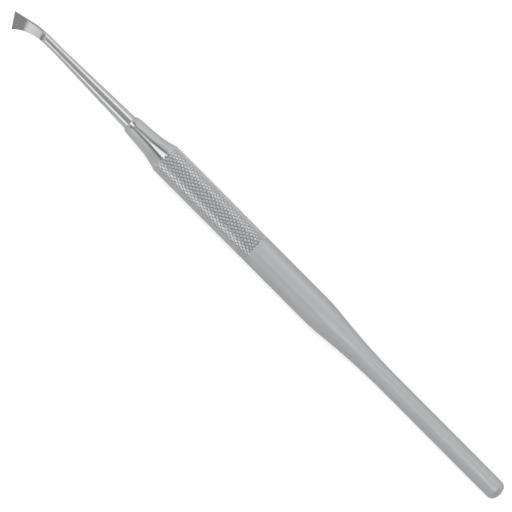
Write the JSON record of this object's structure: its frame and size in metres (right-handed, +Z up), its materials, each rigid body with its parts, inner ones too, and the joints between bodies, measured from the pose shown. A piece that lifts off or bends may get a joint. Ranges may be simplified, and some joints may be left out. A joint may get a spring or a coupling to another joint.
{
  "type": "dental scaler",
  "caption": "One-piece dental hand scaler: a round handle with a diamond-knurled grip and a trumpet neck, and a thin tapered shank bent aside into a fishtail chisel blade.",
  "frame": {"origin": "middle of the footprint, on the surface that the instrument lies on", "axes": "+X along the handle from the blade to the butt, +Z up, away from the surface; the blade bends towards -Y"},
  "size_m": [0.1644, 0.0084, 0.008],
  "materials": {
    "stainless_steel": "satin handle, polished shank and blade"
  },
  "bodies": {
    "root": {"scaler": "stainless_steel"}
  },
  "joints": []
}
